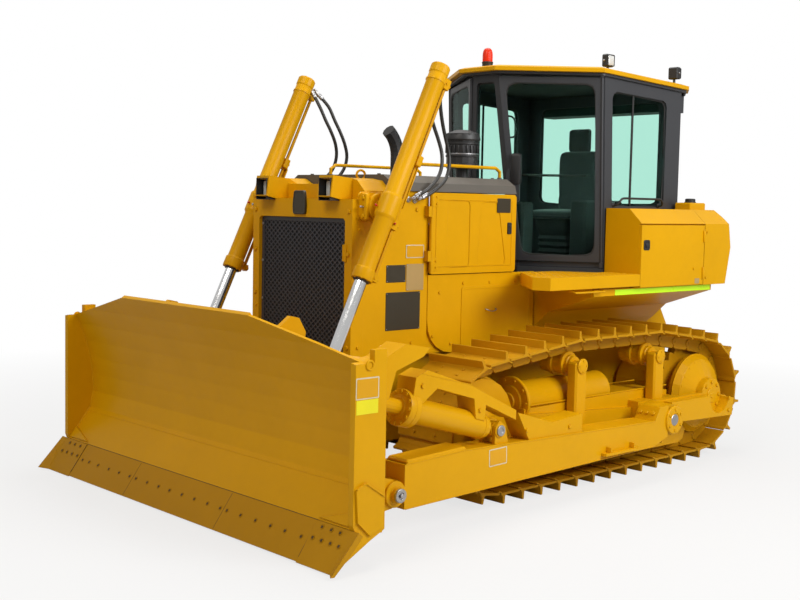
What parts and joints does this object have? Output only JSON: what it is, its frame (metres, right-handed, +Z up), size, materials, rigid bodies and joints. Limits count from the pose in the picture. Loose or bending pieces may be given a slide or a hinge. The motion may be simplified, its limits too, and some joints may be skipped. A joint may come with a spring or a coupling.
{
  "type": "crawler bulldozer",
  "caption": "Crawler dozer with a straight tilting blade on push arms, lift cylinders, a six-sided glazed cab, side boxes and full steel tracks.",
  "frame": {"origin": "ground level below the middle of the machine's length and width", "axes": "+Z up, the blade faces -Y, the machine's left side is +X"},
  "size_m": [3.725, 5.484, 3.587],
  "materials": {
    "machine_yellow": "golden yellow machine paint, satin, dusty",
    "track_yellow": "painted yellow steel worn at the edges",
    "cab_charcoal": "charcoal satin paint",
    "matte_black": "matte black paint",
    "rod_chrome": "polished hard chrome",
    "window_glass": "pale green tinted glass",
    "seat_fabric": "dark grey woven cloth",
    "beacon_orange": "orange-red clear plastic"
  },
  "bodies": {
    "chassis": {"beacon": "beacon_orange", "bonnet": "cab_charcoal", "box_panel_right": "machine_yellow", "cab_floor": "cab_charcoal", "cab_front": "cab_charcoal", "cab_rear": "cab_charcoal", "cab_roof": "machine_yellow", "cab_side_left": "cab_charcoal", "cab_side_right": "cab_charcoal", "console": "matte_black", "cross_beam": "machine_yellow", "engine": "matte_black", "exhaust": "matte_black", "final_drive_left": "machine_yellow", "final_drive_right": "machine_yellow", "front_glass": "window_glass", "grille": "matte_black", "handrail_left": "machine_yellow", "handrail_right": "machine_yellow", "idler_left": "machine_yellow", "idler_right": "machine_yellow", "main_frame": "machine_yellow", "platform_left": "machine_yellow", "platform_right": "machine_yellow", "precleaner": "matte_black", "radiator_guard": "machine_yellow", "rear_glass": "window_glass", "rear_tank": "machine_yellow", "roof_lamp_rear": "matte_black", "roof_lamp_side": "matte_black", "seat": "seat_fabric", "side_box_left": "machine_yellow", "side_box_right": "machine_yellow", "side_glass_left": "window_glass", "side_glass_right": "window_glass", "side_panel_left": "machine_yellow", "side_panel_right": "machine_yellow", "sprocket_left": "track_yellow", "sprocket_right": "track_yellow", "track_frame_left": "machine_yellow", "track_frame_right": "machine_yellow", "track_left": "track_yellow", "track_right": "track_yellow"},
    "blade_lift": {"blade": "machine_yellow", "cutting_edge": "track_yellow", "push_arm_left": "machine_yellow", "push_arm_right": "machine_yellow", "tilt_cylinder": "machine_yellow", "tilt_brace": "machine_yellow"},
    "lift_barrel_left": {"lift_barrel_left": "machine_yellow"},
    "lift_barrel_right": {"lift_barrel_right": "machine_yellow"},
    "lift_rod_left": {"lift_rod_left": "rod_chrome"},
    "lift_rod_right": {"lift_rod_right": "rod_chrome"},
    "cab_door_left": {"cab_door_left": "cab_charcoal", "door_glass_left": "window_glass"},
    "cab_door_right": {"cab_door_right": "cab_charcoal", "door_glass_right": "window_glass"},
    "hood_door_left": {"hood_door_left": "machine_yellow"},
    "hood_door_right": {"hood_door_right": "machine_yellow"},
    "box_door_left": {"box_door_left": "machine_yellow"}
  },
  "joints": [
    {"name": "blade_lift", "type": "hinge", "parent": "chassis", "child": "blade_lift", "pos_m": [0, 1.2, 0.475], "axis": [-1, 0, 0], "range_deg": [-8, 17.8]},
    {"name": "lift_barrel_left", "type": "hinge", "parent": "chassis", "child": "lift_barrel_left", "pos_m": [0.79, -1.354, 2.187], "axis": [-1, 0, 0], "range_deg": [-7.28, 15.59]},
    {"name": "lift_rod_left", "type": "slide", "parent": "lift_barrel_left", "child": "lift_rod_left", "axis": [0, 0.4319, 0.9019], "range_m": [-0.4373, 0.9606]},
    {"name": "lift_barrel_right", "type": "hinge", "parent": "chassis", "child": "lift_barrel_right", "pos_m": [-0.79, -1.354, 2.187], "axis": [-1, 0, 0], "range_deg": [-7.28, 15.59]},
    {"name": "lift_rod_right", "type": "slide", "parent": "lift_barrel_right", "child": "lift_rod_right", "axis": [0, 0.4319, 0.9019], "range_m": [-0.4373, 0.9606]},
    {"name": "cab_door_left", "type": "hinge", "parent": "chassis", "child": "cab_door_left", "pos_m": [0.89438, 1.00763, 1.74933], "axis": [0.0009, -0.0423, 0.9991], "range_deg": [0, 110]},
    {"name": "cab_door_right", "type": "hinge", "parent": "chassis", "child": "cab_door_right", "pos_m": [-0.89438, 1.00763, 1.74937], "axis": [0.0009, 0.0423, -0.9991], "range_deg": [0, 110]},
    {"name": "hood_door_left", "type": "hinge", "parent": "chassis", "child": "hood_door_left", "pos_m": [0.632, -0.76, 1.97], "axis": [0, 0, -1], "range_deg": [0, 90]},
    {"name": "hood_door_right", "type": "hinge", "parent": "chassis", "child": "hood_door_right", "pos_m": [-0.632, -0.76, 1.97], "axis": [0, 0, 1], "range_deg": [0, 90]},
    {"name": "box_door_left", "type": "hinge", "parent": "chassis", "child": "box_door_left", "pos_m": [1.288, 1.975, 1.8], "axis": [0, 0, 1], "range_deg": [0, 110]}
  ],
  "couplings": [
    {"joint": "lift_barrel_left", "follows": "blade_lift", "ratio": 0.848},
    {"joint": "lift_rod_left", "follows": "blade_lift", "m_per_rad": 3.06},
    {"joint": "lift_barrel_right", "follows": "blade_lift", "ratio": 0.848},
    {"joint": "lift_rod_right", "follows": "blade_lift", "m_per_rad": 3.06}
  ]
}
